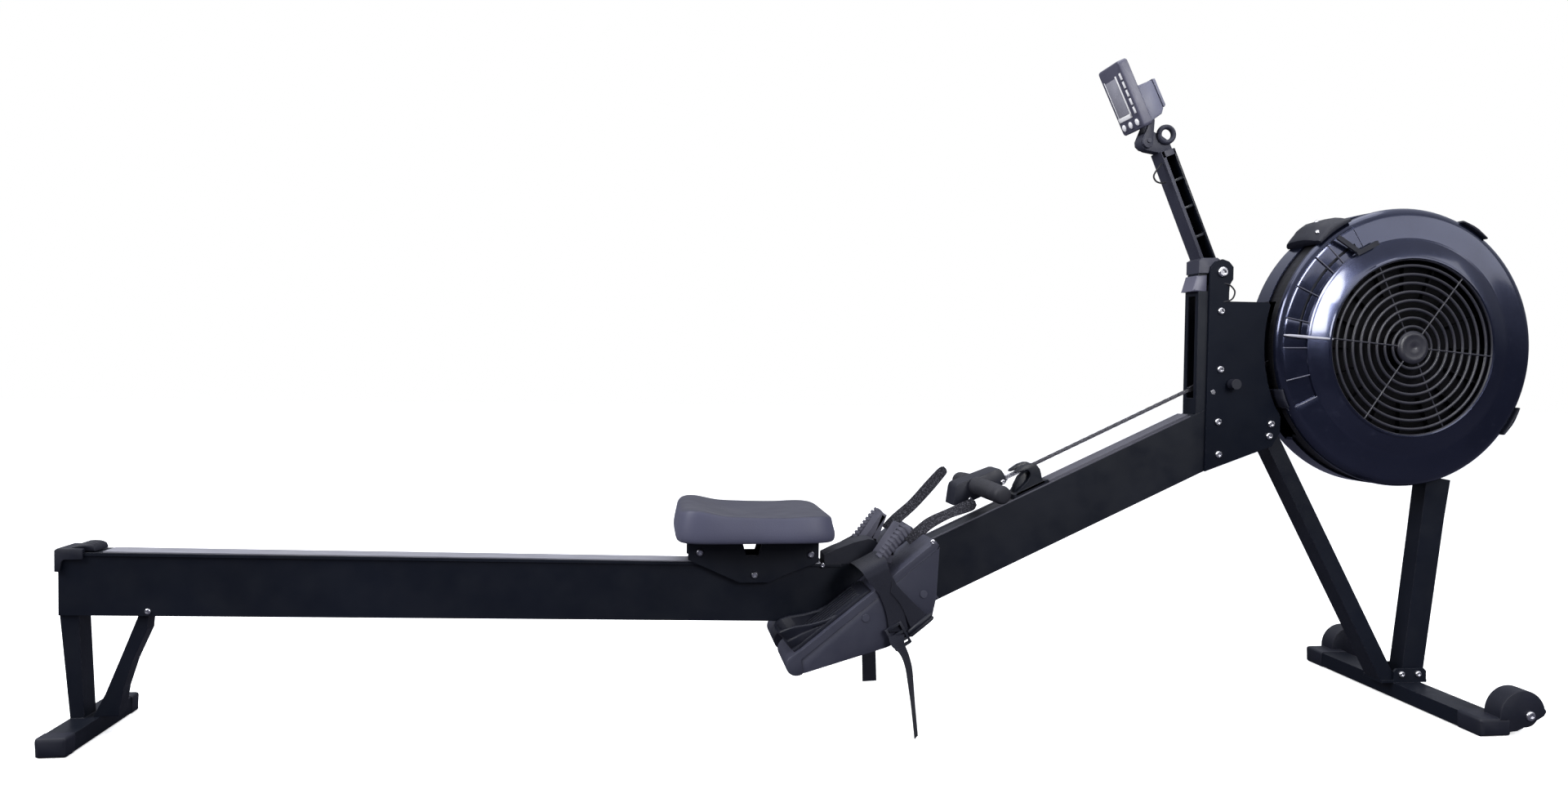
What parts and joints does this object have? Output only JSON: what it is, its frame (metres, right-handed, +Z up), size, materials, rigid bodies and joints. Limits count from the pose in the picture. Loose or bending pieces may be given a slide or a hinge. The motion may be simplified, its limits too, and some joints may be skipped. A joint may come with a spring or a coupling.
{
  "type": "rowing machine",
  "caption": "Air-resistance rowing machine: a sliding contoured seat on a long rail, footrests with straps, a chain handle, a caged fan and a monitor on an arm.",
  "frame": {"origin": "on the floor under the middle of the whole machine", "axes": "+X along the machine towards the fan, +Y across it to the left of a person facing the fan, +Z up"},
  "size_m": [2.4302, 0.45, 1.1],
  "materials": {
    "frame_steel": "satin black powder coat",
    "track_steel": "brushed strip",
    "moulded_plastic": "fine textured moulding",
    "grey_rubber": "ribbed grey rubber",
    "webbing": "woven webbing",
    "cage_plastic": "glossy blue-black moulding",
    "mesh_steel": "perforated black band",
    "fan_steel": "dark coated sheet",
    "bright_steel": "zinc bright",
    "chain_steel": "oiled chain",
    "grip_rubber": "soft grip",
    "seat_vinyl": "moulded polyurethane skin, grey-blue",
    "roller_nylon": "nylon",
    "tyre": "hard rubber",
    "monitor_plastic": "moulded",
    "screen": "grey LCD behind a clear lens",
    "button_white": "white key"
  },
  "bodies": {
    "frame": {"seat_rail": "frame_steel", "main_beam": "frame_steel", "upright_channel": "frame_steel", "side_plates": "frame_steel", "rear_leg": "frame_steel", "rear_brace": "frame_steel", "rear_front_leg": "frame_steel", "front_leg": "frame_steel", "front_foot": "frame_steel", "fan_support_plate": "frame_steel", "handle_hook": "frame_steel", "rail_track": "track_steel", "rail_end_cap": "moulded_plastic", "rear_foot_caps": "moulded_plastic", "front_foot_caps": "moulded_plastic", "knee_cover": "moulded_plastic", "footboards": "moulded_plastic", "strap_buckles": "moulded_plastic", "toe_pads": "grey_rubber", "foot_straps": "webbing", "strap_tongues": "webbing", "cage_near_shell": "cage_plastic", "cage_far_shell": "cage_plastic", "cage_grille": "cage_plastic", "cage_clips": "moulded_plastic", "cage_mesh_band": "mesh_steel", "fan_axle": "bright_steel", "drive_chain": "chain_steel", "chain_span": "chain_steel", "bungee_cord": "webbing", "roller_pins": "bright_steel", "footrest_rods": "bright_steel", "frame_bolts": "bright_steel"},
    "fan": {"fan_rotor": "fan_steel", "fan_bearings": "bright_steel"},
    "clutch": {"clutch_sprocket": "bright_steel"},
    "idler": {"idler_roller": "moulded_plastic"},
    "cord_pulley": {"return_pulley": "moulded_plastic"},
    "damper": {"damper_ring": "moulded_plastic"},
    "left_wheel": {"left_transport_wheel": "tyre"},
    "right_wheel": {"right_transport_wheel": "tyre"},
    "handle": {"handle_bar": "moulded_plastic", "handle_grips": "grip_rubber", "chain_swivel": "bright_steel"},
    "seat": {"seat_pad": "seat_vinyl", "seat_carriage": "frame_steel", "roller_axles": "bright_steel"},
    "front_rollers": {"front_seat_rollers": "roller_nylon"},
    "rear_rollers": {"rear_seat_rollers": "roller_nylon"},
    "lower_rollers": {"guide_rollers": "roller_nylon"},
    "left_cup": {"left_heel_cup": "moulded_plastic"},
    "right_cup": {"right_heel_cup": "moulded_plastic"},
    "arm": {"monitor_arm": "moulded_plastic"},
    "monitor": {"monitor_case": "monitor_plastic", "monitor_back": "monitor_plastic", "monitor_screen": "screen"},
    "menu_key": {"menu_button": "button_white"},
    "units_key": {"units_button": "button_white"},
    "power_key": {"power_button": "button_white"},
    "knob": {"locking_knob": "moulded_plastic"}
  },
  "joints": [
    {"name": "fan_spin", "type": "hinge", "parent": "frame", "child": "fan", "pos_m": [0.97275, 0, 0.6223], "axis": [0, 1, 0], "continuous": true},
    {"name": "clutch_spin", "type": "hinge", "parent": "frame", "child": "clutch", "pos_m": [0.97275, 0, 0.6223], "axis": [0, 1, 0], "range_deg": [-1700, 0]},
    {"name": "idler_spin", "type": "hinge", "parent": "frame", "child": "idler", "pos_m": [0.62685, 0, 0.541], "axis": [0, 1, 0], "range_deg": [-3600, 0]},
    {"name": "cord_pulley_spin", "type": "hinge", "parent": "frame", "child": "cord_pulley", "pos_m": [0.14486, 0, 0.24159], "axis": [0, 1, 0], "range_deg": [0, 2700]},
    {"name": "damper_turn", "type": "hinge", "parent": "frame", "child": "damper", "pos_m": [0.97275, 0, 0.6223], "axis": [0, -1, 0], "range_deg": [0, 50]},
    {"name": "left_wheel_spin", "type": "hinge", "parent": "frame", "child": "left_wheel", "pos_m": [1.06785, 0, 0.032], "axis": [0, 1, 0], "continuous": true},
    {"name": "right_wheel_spin", "type": "hinge", "parent": "frame", "child": "right_wheel", "pos_m": [1.06785, 0, 0.032], "axis": [0, 1, 0], "continuous": true},
    {"name": "handle_pull", "type": "slide", "parent": "frame", "child": "handle", "axis": [-0.9848, 0, 0.1736], "range_m": [0, 1], "stiffness_N_per_m": 30, "deforming": ["chain_span", "strap_tongues"]},
    {"name": "seat_slide", "type": "slide", "parent": "frame", "child": "seat", "axis": [-0.9997, 0, 0.026], "range_m": [0, 0.885]},
    {"name": "front_roller_spin", "type": "hinge", "parent": "seat", "child": "front_rollers", "pos_m": [-0.06915, 0, 0.26917], "axis": [0, 1, 0], "range_deg": [-3450, 0]},
    {"name": "rear_roller_spin", "type": "hinge", "parent": "seat", "child": "rear_rollers", "pos_m": [-0.25015, 0, 0.27388], "axis": [0, 1, 0], "range_deg": [-3450, 0]},
    {"name": "lower_roller_spin", "type": "hinge", "parent": "seat", "child": "lower_rollers", "pos_m": [-0.16115, 0, 0.23675], "axis": [0, 1, 0], "range_deg": [0, 3950]},
    {"name": "left_cup_slide", "type": "slide", "parent": "frame", "child": "left_cup", "axis": [0.7842, 0, 0.6205], "range_m": [0, 0.05]},
    {"name": "right_cup_slide", "type": "slide", "parent": "frame", "child": "right_cup", "axis": [0.7842, 0, 0.6205], "range_m": [0, 0.05]},
    {"name": "arm_fold", "type": "hinge", "parent": "frame", "child": "arm", "pos_m": [0.63885, 0, 0.747], "axis": [0, 1, 0], "range_deg": [0, 30]},
    {"name": "monitor_tilt", "type": "hinge", "parent": "arm", "child": "monitor", "pos_m": [0.50685, 0, 0.968], "axis": [0, 1, 0], "range_deg": [-15, 15]},
    {"name": "menu_press", "type": "slide", "parent": "monitor", "child": "menu_key", "axis": [0.9027, 0, 0.4303], "range_m": [0, 0.0015], "stiffness_N_per_m": 300},
    {"name": "units_press", "type": "slide", "parent": "monitor", "child": "units_key", "axis": [0.9027, 0, 0.4303], "range_m": [0, 0.0015], "stiffness_N_per_m": 300},
    {"name": "power_press", "type": "slide", "parent": "monitor", "child": "power_key", "axis": [0.9027, 0, 0.4303], "range_m": [0, 0.0015], "stiffness_N_per_m": 300},
    {"name": "knob_pull", "type": "slide", "parent": "frame", "child": "knob", "axis": [0, -1, 0], "range_m": [0, 0.01], "stiffness_N_per_m": 500}
  ],
  "couplings": [
    {"joint": "clutch_spin", "follows": "handle_pull", "rad_per_m": -29.07},
    {"joint": "idler_spin", "follows": "handle_pull", "rad_per_m": -58.14},
    {"joint": "cord_pulley_spin", "follows": "handle_pull", "rad_per_m": 45.45},
    {"joint": "front_roller_spin", "follows": "seat_slide", "rad_per_m": -66.667},
    {"joint": "rear_roller_spin", "follows": "seat_slide", "rad_per_m": -66.667},
    {"joint": "lower_roller_spin", "follows": "seat_slide", "rad_per_m": 76.923}
  ]
}
